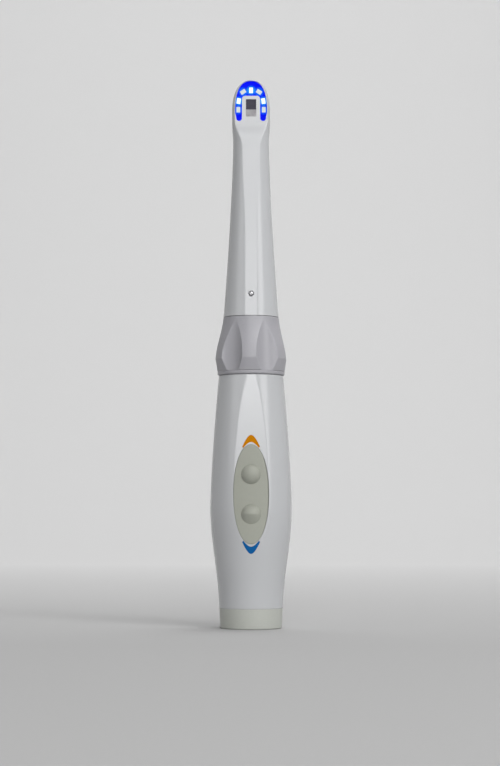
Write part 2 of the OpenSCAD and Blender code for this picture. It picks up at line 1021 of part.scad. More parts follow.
// Optics: the prism's middle, the lens barrel and the sensor below it
prism_y = 1.9;
prism_z = window_z + window_h - aperture_rim - aperture / 2;
barrel_gap = 3.8;
barrel_z = prism_z - prism_side / 2 - barrel_gap - barrel_h;
barrel_wall = 0.5;
lens_r = barrel_r - barrel_wall;
lens_t = 1.2;
lens_inset = 0.4;
arm_w = 2.2;
guide_z = (neck_z + waist_z) / 2;
guide_h = 3;
sensor_drop = 11;
holder_z = barrel_z - sensor_drop;
holder_h = 3;
sensor_board_d = 6;
sensor_board_t = 0.8;
sensor_side = 3.8;
sensor_t = 0.8;

function share(z, low, high) = max(0, min(1, (z - low) / (high - low)));

// Half width of the neck and head
function neck_a(z) =
    z < waist_z
        ? waist_r + (neck_base_r - waist_r) * pow((waist_z - z) / (waist_z - neck_z), neck_bend)
        : waist_r + (head_r - waist_r) * ease(share(z, waist_z + 1, face_z));

// Half width of the flat that runs up the neck and becomes the face
function neck_w(z) =
    neck_flat
        + (waist_flat - neck_flat) * ease(share(z, flare_z, waist_z))
        + (head_flat - waist_flat) * ease(share(z, waist_z - 1, face_z));

function neck_f(z) = sqrt(pow(neck_a(z), 2) - pow(neck_w(z), 2));

// One ring of points: an arc round the back, then the flat front
function d_ring(z, radius, front, scale, face) =
    let (corner = asin(front / radius))
    [
        for (i = [0 : arc_steps])
            let (angle = -corner + (180 + 2 * corner) * i / arc_steps)
            [
                scale * radius * cos(angle),
                -face + scale * (radius * sin(angle) + face),
                z
            ],
        for (i = [1 : flat_steps - 1])
            [
                scale * radius * cos(corner) * (2 * i / flat_steps - 1),
                -face + scale * (face - front),
                z
            ]
    ];

// Outer ring at a height, drawn together above head_z towards the face
function outer_ring(z) =
    let (t = share(z, head_z, total_h))
    d_ring(z, neck_a(z), neck_f(z), sqrt(1 - t * t), neck_f(z));

// Front wall: plain on the neck, deep enough for the light channel on the head
function front_wall(z) =
    neck_wall
        + (channel_depth + channel_floor - neck_wall) * share(z, waist_z + 1, face_z - 1);

function inner_ring(z) =
    let (
        t = share(z, head_z, total_h - neck_wall),
        radius = neck_a(z) - neck_wall,
        front = min(neck_f(z) - front_wall(z), radius - 0.1)
    )
    d_ring(z, radius, front, sqrt(1 - t * t), front);

// Joins a stack of rings into one closed skin with flat ends
module skin(rings) {
    n = len(rings[0]);
    m = len(rings);
    // The end faces start at the back, away from the straight front edge
    first = floor(0.45 * n);
    polyhedron(
        points = [for (ring = rings) each ring],
        faces = concat(
            [[for (i = [0 : n - 1]) (first + i) % n]],
            [
                for (k = [0 : m - 2])
                    for (i = [0 : n - 1])
                        let (j = (i + 1) % n)
                        each [
                            [k * n + i, (k + 1) * n + i, (k + 1) * n + j],
                            [k * n + i, (k + 1) * n + j, k * n + j]
                        ]
            ],
            [[for (i = [0 : n - 1]) (m - 1) * n + (first + n - i) % n]]
        )
    );
}

neck_heights = concat(
    [for (i = [0 : 13]) neck_z + (waist_z - neck_z) * i / 14],
    [for (i = [0 : 8]) waist_z + (head_z - waist_z) * i / 8],
    [for (i = [1 : 11]) head_z + (total_h - head_z) * sin(90 * i / 11.4)]
);

cavity_heights = concat(
    [for (i = [0 : 5]) neck_collar_top + 1 + (waist_z - neck_collar_top - 1) * i / 6],
    [for (i = [0 : 6]) waist_z + (head_z - waist_z) * i / 6],
    [for (i = [1 : 5]) head_z + (total_h - neck_wall - head_z) * sin(90 * i / 6)]
);

module neck_outer() {
    skin([for (z = neck_heights) outer_ring(z)]);
}

module neck_cavity() {
    skin([for (z = cavity_heights) inner_ring(z)]);
}

module neck_shell() {
    color("white")
        difference() {
            neck_outer();
            neck_cavity();
            translate([0, 0, neck_z - past])
                cylinder(r = neck_bore_r, h = neck_collar_top + 1 + past - neck_z + 0.05);
            face_cut(channel_depth)
                polygon(arch_outline(0));
            face_cut(channel_depth + channel_floor + past)
                translate([-window_w / 2, window_z])
                    square([window_w, window_h]);
            translate([0, 0, neck_screw_z])
                rotate([90, 0, 0]) {
                    cylinder(r = neck_screw_r + run_gap, h = neck_base_r + past, $fn = 48);
                    translate([0, 0, neck_f(neck_screw_z) - screw_sink])
                        cylinder(r = neck_screw_r + screw_rim, h = past + screw_sink, $fn = 48);
                }
        }
}

// The screw's domed head ends just under the neck's flat
module neck_screw() {
    root = tube_in + screw_web;
    crown = neck_f(neck_screw_z) - run_gap;
    color("silver")
        translate([0, 0, neck_screw_z])
            rotate([90, 0, 0])
                difference() {
                    rotate_extrude($fn = 48)
                        polygon(concat(
                            [[0, root], [neck_screw_r, root]],
                            [for (i = [0 : 6])
                                let (angle = 90 * i / 6)
                                [
                                    neck_screw_r * cos(angle),
                                    crown - screw_dome + screw_dome * sin(angle)
                                ]
                            ]
                        ));
                    translate([0, 0, crown - screw_socket_h])
                        cylinder(r = screw_socket_r, h = screw_socket_h + past, $fn = 6);
                }
}

// Extrudes an outline of the face inwards from the face by the given depth
module face_cut(depth) {
    translate([0, depth - face_y, 0])
        rotate([90, 0, 0])
            linear_extrude(depth + past)
                children();
}

// Extrudes an outline of the face between two depths behind it
module face_layer(front, back) {
    translate([0, back - face_y, 0])
        rotate([90, 0, 0])
            linear_extrude(back - front)
                children();
}

// Half outline of the light arch, drawn in by the given amount
function arch_half(inset) =
    let (
        reach = head_flat - arch_rim - inset,
        rise = total_h - head_z - arch_rim - inset,
        leg = arch_inner + inset,
        leg_mid = (arch_inner + leg_tip) / 2,
        tip = (leg_tip - arch_inner) / 2 - inset
    )
    concat(
        [for (i = [0 : 15]) let (a = 90 - 90 * i / 15) [reach * cos(a), head_z + rise * sin(a)]],
        [
            for (i = [1 : 4])
                let (t = i / 5)
                [reach - (reach - leg_mid - tip) * t * t, head_z - (head_z - arch_foot - tip) * t]
        ],
        [
            for (i = [0 : 6])
                let (a = -180 * i / 6)
                [leg_mid + tip * cos(a), arch_foot + tip + inset + tip * sin(a)]
        ],
        [
            for (i = [0 : 6])
                let (a = 90 * i / 6, r = arch_corner)
                [
                    leg - r + r * cos(a),
                    arch_inner_top + inset - r + r * sin(a)
                ]
        ]
    );

function arch_outline(inset) =
    let (half = arch_half(inset), n = len(half))
    concat(half, [for (i = [n - 1 : -1 : 1]) [-half[i][0], half[i][1]]]);

module light_board() {
    color([0, 0.06, 0.85])
        face_layer(channel_depth - light_board_t, channel_depth)
            polygon(arch_outline(fit_gap));
}

module light_cover() {
    color([0.6, 0.7, 1, 0.5])
        face_layer(0, cover_t)
            polygon(arch_outline(fit_gap));
}

// Sideways place, share of the rounded top's height, and turn of each light emitter
led_places = [
    [-4.8, 0.075, 0], [-4.65, 0.35, 8], [-3.0, 0.642, 57], [0, 0.692, 0],
    [3.0, 0.642, -57], [4.65, 0.35, -8], [4.8, 0.075, 0]
];

module led(i) {
    place = led_places[i - 1];
    color("white")
        face_layer(channel_depth - light_board_t - led_t, channel_depth - light_board_t)
            translate([place[0], head_z + place[1] * head_cap_h])
                rotate(-place[2])
                    square([led_w, led_h], center = true);
}

module window_glass() {
    color([0.8, 0.9, 0.95, 0.4])
        face_layer(glass_sink, glass_sink + glass_t)
            translate([-window_w / 2 + fit_gap, window_z + fit_gap])
                square([window_w - 2 * fit_gap, window_h - 2 * fit_gap]);
}

// The holder fills the window behind its glass and opens to the prism
module prism_holder() {
    color("gray")
        difference() {
            translate([-window_w / 2 + fit_gap, -face_y + glass_sink + glass_t, window_z + fit_gap])
                cube([
                    window_w - 2 * fit_gap,
                    prism_y - prism_side / 2 - (-face_y + glass_sink + glass_t),
                    window_h - 2 * fit_gap
                ]);
            translate([
                -aperture / 2, -face_y, window_z + window_h - aperture_rim - aperture
            ])
                cube([aperture, face_y + prism_y, aperture]);
        }
}

module prism() {
    color([0.5, 0.55, 0.6, 0.5])
        translate([-prism_side / 2, prism_y, prism_z])
            rotate([90, 0, 90])
                linear_extrude(prism_side)
                    polygon([
                        [-prism_side / 2, -prism_side / 2],
                        [prism_side / 2, -prism_side / 2],
                        [-prism_side / 2, prism_side / 2]
                    ]);
}

module lens_barrel() {
    color([0.12, 0.12, 0.13])
        difference() {
            union() {
                translate([0, prism_y, barrel_z])
                    cylinder(r = barrel_r, h = barrel_h);
                translate([rod_x, rod_y - arm_w / 2, barrel_z])
                    cube([-rod_x - barrel_r / 2, arm_w, barrel_h]);
                translate([rod_x, rod_y, barrel_z])
                    cylinder(r = arm_w / 2, h = barrel_h, $fn = 48);
            }
            translate([0, prism_y, barrel_z - past])
                cylinder(r = lens_r, h = barrel_h + 2 * past);
            translate([rod_x, rod_y, barrel_z - past])
                cylinder(r = rod_r, h = barrel_h, $fn = 48);
        }
}

// A lens with one curved side
module lens(z, h, up) {
    color([0.75, 0.85, 0.9, 0.5])
        translate([0, prism_y, z])
            mirror([0, 0, up ? 0 : 1])
                rotate_extrude()
                    polygon(concat(
                        [[0, 0], [lens_r, 0]],
                        [for (i = [0 : 6]) let (a = 90 * i / 6)
                            [lens_r * cos(a), h / 2 + h / 2 * sin(a)]]
                    ));
}

module front_lens() {
    lens(barrel_z + barrel_h - lens_t - lens_inset, lens_t, true);
}

module rear_lens() {
    lens(barrel_z + lens_t + lens_inset, lens_t, false);
}

// The space inside the neck, less a sliding gap, over a span of heights
module inside_neck(z, h) {
    rings = [
        for (i = [0 : 2])
            let (
                level = z + h * i / 2,
                radius = neck_a(level) - neck_wall - fit_gap - 0.05,
                front = min(neck_f(level) - front_wall(level) - fit_gap, radius - 0.1)
            )
            d_ring(level, radius, front, 1, front)
    ];
    skin(rings);
}

module neck_disc(z, h) {
    difference() {
        inside_neck(z, h);
        translate([rod_x, rod_y, z - past])
            cylinder(r = rod_r + run_gap, h = h + 2 * past, $fn = 48);
        translate([-ribbon_w / 2 - free_gap, ribbon_y - free_gap, z - past])
            cube([ribbon_w + 2 * free_gap, ribbon_t + 2 * free_gap, h + 2 * past]);
    }
}

module rod_guide() {
    color([0.3, 0.3, 0.32])
        neck_disc(guide_z, guide_h);
}

module sensor_holder() {
    color([0.3, 0.3, 0.32])
        neck_disc(holder_z, holder_h);
}

module sensor_board() {
    color("darkgreen")
        translate([-ribbon_w / 2, ribbon_y + ribbon_t - sensor_board_d, holder_z + holder_h])
            cube([ribbon_w, sensor_board_d, sensor_board_t]);
}

module image_sensor() {
    color([0.15, 0.15, 0.2])
        translate([-sensor_side / 2, prism_y - sensor_side / 2,
            holder_z + holder_h + sensor_board_t])
            cube([sensor_side, sensor_side, sensor_t]);
}

module sensor_ribbon() {
    low = connector_z + connector_h;
    inner = board_back_y + connector_t / 2;
    color("orange")
        translate([-ribbon_w / 2, 0, 0])
            rotate([90, 0, 90])
                linear_extrude(ribbon_w)
                    polygon([
                        [inner, low], [inner + ribbon_t, low],
                        [inner + ribbon_t, low + 1], [ribbon_y + ribbon_t, tube_z - 1],
                        [ribbon_y + ribbon_t, holder_z + holder_h],
                        [ribbon_y, holder_z + holder_h], [ribbon_y, tube_z - 1 + ribbon_t / 2],
                        [inner, low + 1 + ribbon_t / 2]
                    ]);
}

handle_front_shell();
handle_rear_shell();
base_cap();
base_screws();
charging_socket();
charging_contacts();
upper_marker();
lower_marker();
button_pad();
button_board();
board_spacers();
upper_switch();
lower_switch();
upper_button();
lower_button();
upper_plunger();
lower_plunger();
inner_frame();
main_board();
image_processor();
wireless_module();
ribbon_connector();
battery_cell();
battery_contacts();
guide_tube();
tube_nut();
lower_seal();
thrust_washer();
focus_ring();
cam_sleeve();
follower_pin();
focus_carriage();
push_rod();
rod_guide();
lens_barrel();
front_lens();
rear_lens();
neck_shell();
neck_screw();
sensor_holder();
sensor_board();
image_sensor();
sensor_ribbon();
prism_holder();
prism();
window_glass();
light_cover();
light_board();
led(1);  // led_1
led(2);  // led_2
led(3);  // led_3
led(4);  // led_4
led(5);  // led_5
led(6);  // led_6
led(7);  // led_7
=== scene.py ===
import json
import math

import bmesh
import bpy
from mathutils import Matrix, Vector


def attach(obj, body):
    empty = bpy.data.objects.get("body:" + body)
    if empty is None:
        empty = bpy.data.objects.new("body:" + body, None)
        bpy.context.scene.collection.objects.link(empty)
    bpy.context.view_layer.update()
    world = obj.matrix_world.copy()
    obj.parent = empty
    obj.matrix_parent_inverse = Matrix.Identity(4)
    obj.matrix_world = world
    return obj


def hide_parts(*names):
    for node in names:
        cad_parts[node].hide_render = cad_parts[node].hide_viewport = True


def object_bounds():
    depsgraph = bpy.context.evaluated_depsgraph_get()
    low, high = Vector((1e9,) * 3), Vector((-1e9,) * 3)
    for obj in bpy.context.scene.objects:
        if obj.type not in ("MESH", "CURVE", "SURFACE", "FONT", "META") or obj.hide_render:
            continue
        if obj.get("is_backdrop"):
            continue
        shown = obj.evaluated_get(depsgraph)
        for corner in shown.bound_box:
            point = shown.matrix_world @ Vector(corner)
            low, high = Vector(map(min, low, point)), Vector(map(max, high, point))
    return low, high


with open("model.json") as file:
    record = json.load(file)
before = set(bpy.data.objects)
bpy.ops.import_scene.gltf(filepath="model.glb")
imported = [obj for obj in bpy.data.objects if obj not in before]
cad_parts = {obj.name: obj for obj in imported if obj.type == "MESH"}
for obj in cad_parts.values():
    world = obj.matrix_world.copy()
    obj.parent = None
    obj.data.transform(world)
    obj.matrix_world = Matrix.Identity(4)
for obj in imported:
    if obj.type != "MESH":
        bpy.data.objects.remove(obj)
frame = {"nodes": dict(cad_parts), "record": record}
box_at_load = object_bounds()

NODES = frame["nodes"]
MM = 0.001

# Sizes in mm: those of the solids, and those of the finer detail that only the looks have
BASE_H = 7.5
HANDLE_BASE_R, BELLY_R, BELLY_Z = 11.95, 15.3, 44
HANDLE_TOP_R, HANDLE_TOP = 12.1, 94.2
SHELL_WALL, SHELL_EDGE, HALF_SEAM = 1.8, 0.14, 0.6
FACET_TILT, FACET_Y, FACET_SOFT = math.radians(2.05), 13.64, 0.12
PAD_Z, PAD_W, PAD_H, PAD_POWER = 49.75, 12.9, 36.5, 2.12
PAD_GAP, PAD_CROWN_R, PAD_PROUD = 0.15, 34, 0.1
PAD_RIM, PAD_FLANGE, PAD_DEPTH = 0.12, 0.145, 1.8
MARKER_PEAK, MARKER_THICK, MARKER_HALF, MARKER_DROP = 3.6, 2.6, 3.25, 4.3
MARKER_LEG, MARKER_ROUND, MARKER_TIP, MARKER_GAP = 0.5, 0.8, 0.35, 0.03
BUTTON_PITCH, DOME_R, DOME_H, BUTTON_ROOT, BUTTON_GAP = 14.7, 3.6, 2.1, -3.5, 0.02
CREST_LEAN = math.radians(20)
RING_Z, RING_R, RING_LIP_R, RING_TOP_R, RING_H = 94.35, 13.87, 12.6, 10.45, 21.8
RING_FOOT, RING_WIDE, RING_FILLET, LIP_EDGE, LIP_GROOVE = 1.3, 6.0, 0.35, 0.35, 0.1
SCALLOPS, SCALLOP_R, SCALLOP_FOOT, SCALLOP_TOP, SCALLOP_SOFT = 6, 8, 12.1, 10.5, 0.03
RING_TURN = math.radians(-3)
RING_BORE, RING_SEAT_R, RING_SEAT_H = 8.9, 9.5, 0.75
FAR_OFF = 99
NECK_Z, NECK_BASE_R, NECK_BEND = 116.3, 10.35, 1.38
WAIST_R, WAIST_Z, HEAD_R, HEAD_Z, TOTAL_H = 6.8, 181, 7.2, 194, 205.95
NECK_FLAT, WAIST_FLAT, HEAD_FLAT, FLAT_WIDENS_Z, FACE_Z = 2.2, 3.3, 6.25, 145, 191
FACE_Y = math.sqrt(HEAD_R ** 2 - HEAD_FLAT ** 2)
HEAD_POWER = 2.45
COVER_T, BOARD_T, LAYER_GAP = 0.65, 0.6, 0.05
ARCH_TOP, ARCH_RIM, ARCH_INNER, ARCH_INNER_TOP, ARCH_FOOT = 206, 0.2, 3.4, 200, 190.4
LEG_TIP, ARCH_CORNER, CHANNEL_DEPTH = 5.65, 1.2, 1.9
WINDOW_W, WINDOW_H, WINDOW_Z, WINDOW_CORNER, LENS_DROP = 3.9, 6.6, 192.1, 0.25, 2.7
WINDOW_DEPTH, NECK_WALL, FACE_WALL_MORE = 3.5, 1.5, 1.2
SCREW_Z, SCREW_R, SCREW_SUNK = 124.4, 1.0, 0.4

# The lights on the board: X and Z in mm, and how strongly the board's painted glow shows round each
LED_PLACES = [
    (-4.8, 194.9, 0.5), (-4.65, 198.2, 1.2), (-3.0, 201.7, 0.6), (0, 202.3, 1.2),
    (3.0, 201.7, 0.6), (4.65, 198.2, 1.2), (4.8, 194.9, 0.5),
]
DIM_LIGHTS = ("led_1", "led_3", "led_5", "led_7")

# Stage: colours of the paper and where it changes, in metres, and strengths of the world
PAPER_NEAR, PAPER_FAR = 0.46, 0.78
PAPER_NEAR_Y, PAPER_FAR_Y = -0.1, 0.9
FLOOR_FRONT, FLOOR_BACK, FLOOR_HALF_W, WALL_CURVE, WALL_TOP = -1.15, 0.9, 1.3, 0.7, 3.0
WORLD_LEFT, WORLD_RIGHT, WORLD_SEEN = 0.06, 0.03, 0.62

# Lights: name, place, aim and size in metres, and watts
LIGHTS = [
    ("front_low", (0.02, -1.2, 0.29), (0.02, 0, 0.29), (0.24, 0.11), 1.1),
    ("front_tall", (0.05, -1.2, 0.87), (0.05, 0, 0.87), (0.40, 1.27), 3.9),
    ("fill", (0.8, -0.8, 0.40), (0, 0, 0.1), (0.5, 0.6), 2.8),
    ("left_fill", (-0.9, -0.6, 0.45), (0, 0, 0.1), (0.5, 0.6), 0.8),
    ("key", (0.5, -0.9, 1.0), (0, 0, 0.1), (0.6, 0.6), 6),
    ("top", (0.15, 0.1, 1.3), (0, 0, 0), (0.3, 0.3), 4),
    ("backdrop", (0, 0.7, 1.6), (0, 1.7, 0.5), (2.0, 0.5), 14.6),
]

# Camera: place in metres, upward pitch in degrees, and lens in mm
CAMERA_PLACE, CAMERA_PITCH, CAMERA_LENS = (-0.0004, -0.763, 0.0436), 3.6, 95.6

# What the script makes: its objects with their slots, and its materials by name
BUILT = []
MATERIALS = {}


def ease(t):
    """A soft start and end between 0 and 1."""
    return (1 - math.cos(math.pi * t)) / 2


def share(z, low, high):
    """How far z has come from low to high, kept within 0 and 1."""
    return max(0.0, min(1.0, (z - low) / (high - low)))


def spread(low, high, steps):
    """Even steps from low to high, both included."""
    return [low + (high - low) * i / steps for i in range(steps + 1)]


def smooth_min(a, b, soft):
    """The smaller of two, blended where they differ by less than soft."""
    h = max(soft - abs(a - b), 0) / soft
    return min(a, b) - h * h * soft / 4


# Meshes

def new_object(name, bm):
    """An object in the scene from a finished mesh."""
    bmesh.ops.recalc_face_normals(bm, faces=bm.faces)
    mesh = bpy.data.meshes.new(name)
    bm.to_mesh(mesh)
    bm.free()
    obj = bpy.data.objects.new(name, mesh)
    bpy.context.collection.objects.link(obj)
    return obj


def shade(obj, angle):
    """Smooth shading that keeps edges sharper than the angle."""
    obj.data.polygons.foreach_set("use_smooth", [True] * len(obj.data.polygons))
    obj.data.set_sharp_from_angle(angle=math.radians(angle))


def join_rows(bm, low, high):
    """A band of faces round between two rows of points."""
    for i in range(len(low)):
        j = (i + 1) % len(low)
        bm.faces.new([low[i], low[j], high[j], high[i]])


def grid_solid(name, rows, hollow=False):
    """A skin over rings of points in mm, with flat ends, or closed on itself as a tube's wall."""
    bm = bmesh.new()
    verts = [[bm.verts.new(Vector(p) * MM) for p in row] for row in rows]
    for low, high in zip(verts, verts[1:]):
        join_rows(bm, low, high)
    if hollow:
        join_rows(bm, verts[-1], verts[0])
    else:
        bm.faces.new(verts[0])
        bm.faces.new(verts[-1])
    return new_object(name, bm)


def prism(name, outline, place, height):
    """A prism over an outline in mm; place takes its local points to the frame."""
    bm = bmesh.new()
    low = [bm.verts.new(place @ Vector((x, y, 0)) * MM) for x, y in outline]
    high = [bm.verts.new(place @ Vector((x, y, height)) * MM) for x, y in outline]
    bm.faces.new(low)
    bm.faces.new(high)
    join_rows(bm, low, high)
    return new_object(name, bm)


def taper(low, high, place, low_z, high_z):
    """A cutter between two outlines with as many points."""
    rows = [
        [place @ Vector((x, y, level)) for x, y in outline]
        for outline, level in ((low, low_z), (high, high_z))
    ]
    return grid_solid("tool", rows)


def circle(radius, steps):
    """Points right round the origin."""
    return [
        (radius * math.cos(a), radius * math.sin(a))
        for a in spread(0, 2 * math.pi, steps)[:-1]
    ]


def arc(x, y, radius, start, end, steps):
    """Points on a circle about a middle, from one angle to another."""
    return [
        (x + radius * math.cos(math.radians(a)), y + radius * math.sin(math.radians(a)))
        for a in spread(start, end, steps)
    ]


def combine(obj, tools, how):
    """Cuts with, or keeps what lies in, each of the tools, and removes them."""
    for tool in tools:
        mod = obj.modifiers.new("cut", "BOOLEAN")
        mod.operation = how
        mod.solver = "EXACT"
        mod.object = tool
    bake(obj)
    for tool in tools:
        bpy.data.objects.remove(tool)


def bake(obj):
    """Turns an object's modifiers into its mesh."""
    graph = bpy.context.evaluated_depsgraph_get()
    mesh = bpy.data.meshes.new_from_object(obj.evaluated_get(graph))
    obj.modifiers.clear()
    obj.data = mesh


def stand_for(obj, body, slot, node):
    """Puts an object on its body in place of the solid of one node."""
    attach(obj, body)
    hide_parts(node)
    BUILT.append((obj, slot))


def on_facet(up=0, out=0):
    """A place on the handle's flat facet: local +Z points out of it and +Y up it."""
    return (
        Matrix.Translation((0, -FACET_Y, PAD_Z))
        @ Matrix.Rotation(math.radians(90) - FACET_TILT, 4, "X")
        @ Matrix.Translation((0, up, out))
    )


def on_face(depth):
    """A place this deep under the head's face: local +X right, +Y up, +Z out of the face."""
    return Matrix.Translation((0, depth - FACE_Y, 0)) @ Matrix.Rotation(math.radians(90), 4, "X")


def turned_point(radius, angle, z):
    """A point by its angle from the front."""
    return (radius * math.sin(angle), -radius * math.cos(angle), z)


def flat_section(radius, front, angle, soft):
    """Radius at an angle of a round section with a flat front and softened corners."""
    ahead = math.cos(angle)
    if ahead < 0.05:
        return radius
    return smooth_min(radius, front / ahead, soft)


def angles_round(fine_to, fine, coarse):
    """Angles right round, closer together in front."""
    front = spread(-fine_to, fine_to, round(2 * fine_to / fine))
    back = spread(fine_to, 360 - fine_to, round((360 - 2 * fine_to) / coarse))
    return [math.radians(a) for a in front + back[1:-1]]


# Handle shells

def handle_r(z):
    """The handle's radius: it swells from its base to the belly and narrows to its top."""
    if z < BELLY_Z:
        t = (z - BASE_H) / (BELLY_Z - BASE_H)
        return HANDLE_BASE_R + (BELLY_R - HANDLE_BASE_R) * (0.85 * ease(t) + 0.15 * t)
    t = (z - BELLY_Z) / (HANDLE_TOP - BELLY_Z)
    return BELLY_R - (BELLY_R - HANDLE_TOP_R) * t ** 1.45


def facet_front(z):
    """How far the handle's leaning facet stands ahead of the axis."""
    return FACET_Y - math.tan(FACET_TILT) * (z - PAD_Z)


def handle_section(z, angle, inset):
    """Radius of the handle's outside, or of its inside where it is set in by the wall."""
    return flat_section(handle_r(z) - inset, facet_front(z) - inset, angle, FACET_SOFT)


def shell_rows(front):
    """Rows of points round half the handle's wall, out along the outside and back inside."""
    turn = 0 if front else math.pi
    fine = 0.75 if front else 3
    reach = 90 - HALF_SEAM
    inner = [math.radians(a) for a in spread(-reach, reach, round(179 / fine))]
    side = math.radians(90)
    outside = [(-side, SHELL_EDGE)] + [(a, 0) for a in inner] + [(side, SHELL_EDGE)]
    inside = [(a, SHELL_WALL) for a in (side, *reversed(inner), -side)]
    levels = [(BASE_H, SHELL_EDGE), (BASE_H + SHELL_EDGE, 0)]
    levels += [(z, 0) for z in spread(BASE_H + 1, HANDLE_TOP - 1, 96)]
    levels += [(HANDLE_TOP - SHELL_EDGE, 0), (HANDLE_TOP, SHELL_EDGE)]
    rows = []
    for z, drop in levels:
        row = []
        for angle, inset in outside + inside:
            lost = inset + drop if inset < SHELL_WALL else inset
            row.append(turned_point(handle_section(z, angle + turn, lost), angle + turn, z))
        rows.append(row)
    return rows


def oval(grow):
    """The pad's outline on the facet."""
    points = []
    for c, s in circle(1, 128):
        points.append((
            (PAD_W / 2 + grow) * math.copysign(abs(c) ** (2 / PAD_POWER), c),
            (PAD_H / 2 + grow) * math.copysign(abs(s) ** (2 / PAD_POWER), s),
        ))
    return points


def marker_fall(u):
    """How far a marker's edge has fallen from its round peak, 0 to 1."""
    whole = math.hypot(1, MARKER_ROUND) - MARKER_ROUND
    return (math.hypot(u, MARKER_ROUND) - MARKER_ROUND) / whole


def marker_outline(side, grow=0.0):
    """A bent arrowhead beyond the pad's upper or lower end."""
    peak = PAD_H / 2 + MARKER_PEAK
    shares = spread(-1, 1, 32)
    outer = [
        ((MARKER_HALF + grow) * u, side * (peak + grow - MARKER_DROP * marker_fall(u)))
        for u in shares
    ]
    drop = MARKER_DROP - MARKER_THICK + MARKER_LEG
    inner = [
        ((MARKER_HALF - MARKER_TIP) * u, side * (peak - MARKER_THICK - grow - drop * marker_fall(u)))
        for u in reversed(shares)
    ]
    return outer + inner


def build_handle():
    """Both shells, with the pad's opening and the two inlays cut into the front one."""
    front = grid_solid("front_shell", shell_rows(True))
    rear = grid_solid("rear_shell", shell_rows(False))
    markers = []
    for side, name in ((1, "upper_marker"), (-1, "lower_marker")):
        marker = grid_solid(name + "_inlay", shell_rows(True))
        combine(marker, [prism("tool", marker_outline(side), on_facet(0, -3), 6)], "INTERSECT")
        markers.append(marker)
    tools = [
        prism("tool", marker_outline(side, MARKER_GAP), on_facet(0, -3), 6) for side in (1, -1)
    ]
    tools.append(prism("tool", oval(PAD_GAP), on_facet(0, -4), 8))
    tools.append(taper(oval(PAD_GAP - 0.1), oval(PAD_GAP + 0.2), on_facet(), -0.2, 0.1))
    combine(front, tools, "DIFFERENCE")
    for obj, slot, name in (
        (front, "white_shell", "handle_front_shell"),
        (rear, "white_shell", "handle_rear_shell"),
        (markers[0], "orange_inlay", "upper_marker"),
        (markers[1], "blue_inlay", "lower_marker"),
    ):
        shade(obj, 32)
        stand_for(obj, "handle", slot, name)


# Pad and buttons

def crown_height(x):
    """Height of the pad's crowned face over the facet."""
    return PAD_PROUD - PAD_CROWN_R + math.sqrt(PAD_CROWN_R ** 2 - x * x)


def pad_levels():
    """Share of the outline, depth under the face and growth of the outline, row by row."""
    levels = [(1, -PAD_DEPTH, PAD_FLANGE), (1, -0.24, PAD_FLANGE), (1, -0.2, PAD_RIM)]
    levels += [(1, -0.16, PAD_RIM), (0.988, -0.06, PAD_RIM), (0.965, -0.01, PAD_RIM)]
    return levels + [(share_in, 0, PAD_RIM) for share_in in spread(0.94, 0.07, 14)]


def build_pad():
    """The pad: its crowned face with a rounded rim, and the holes for the buttons."""
    place = on_facet()
    rows = []
    for scale, drop, grow in pad_levels():
        row = []
        for x, y in oval(grow):
            u, v = x * scale, y * (1 - (1 - scale) * PAD_W / PAD_H)
            if scale < 0.9:
                v = y * scale
            height = drop if drop == -PAD_DEPTH else crown_height(u) + drop
            row.append(place @ Vector((u, v, height)))
        rows.append(row)
    pad = grid_solid("pad_panel", rows)
    hole = circle(DOME_R + BUTTON_GAP, 96)
    tools = [prism("tool", hole, on_facet(side * BUTTON_PITCH / 2, -5), 10) for side in (1, -1)]
    combine(pad, tools, "DIFFERENCE")
    shade(pad, 40)
    stand_for(pad, "handle", "pad_silicone", "button_pad")


def dome_height(r):
    """Height of a plain dome's face over the facet, this far from its middle."""
    sphere_r = (DOME_R ** 2 + DOME_H ** 2) / (2 * DOME_H)
    return DOME_H - sphere_r + math.sqrt(max(sphere_r ** 2 - r * r, 0))


def button_height(x, y, crested):
    """Height of a button's face over the facet; under its crest the lower one falls away."""
    dome = dome_height(math.hypot(x, y))
    if crested and y < 0:
        return dome * (1 + math.tan(CREST_LEAN) * y / DOME_H)
    return dome


def build_button(name, body, side, crested):
    """A domed button: its rows run from its root up its stem and over the dome."""
    place = on_facet(side * BUTTON_PITCH / 2)
    rises = spread(0, 90, 40)[:-1] + [88.5]
    radii = [DOME_R] + [DOME_R * math.cos(math.radians(a)) for a in rises]
    rows = []
    for k, radius in enumerate(radii):
        row = []
        for x, y in circle(radius, 96):
            z = button_height(x, y, crested) if k else BUTTON_ROOT
            row.append(place @ Vector((x, y, z)))
        rows.append(row)
    obj = grid_solid(name + "_cap", rows)
    shade(obj, 50)
    stand_for(obj, body, "pad_silicone", name)


# Focus ring

def ring_profile():
    """Radius and height of the ring's outside: its lip, groove, flare, body and round top."""
    lip, groove = RING_LIP_R, LIP_GROOVE
    low_r, low_z = lip + 2 * groove, RING_FOOT + 3 * groove
    rows = [
        (lip - LIP_EDGE, 0), (lip - 0.06, LIP_EDGE - 0.06), (lip, LIP_EDGE + 0.06),
        (lip, RING_FOOT - groove - 0.05), (lip - 0.03, RING_FOOT - groove + 0.03),
        (lip - groove, RING_FOOT),
    ]
    rows += [(lip - groove + 3 * groove * t, RING_FOOT + 3 * groove * t) for t in (0.32, 0.34, 1)]
    rows += [
        (low_r + (RING_R - low_r) * t, low_z + (RING_WIDE - low_z) * t)
        for t in spread(0.08, 0.98, 14)
    ]
    for t in spread(0.01, 1, 60):
        fall = 0.7 * ease(t) + 0.3 * t
        rows.append((
            RING_R - (RING_R - RING_TOP_R) * fall, RING_WIDE + (RING_H - RING_WIDE) * t
        ))
    rows = [row for row in rows if row[1] < RING_H - RING_FILLET]
    return rows + arc(RING_TOP_R - RING_FILLET, RING_H - RING_FILLET, RING_FILLET, 0, 90, 8)


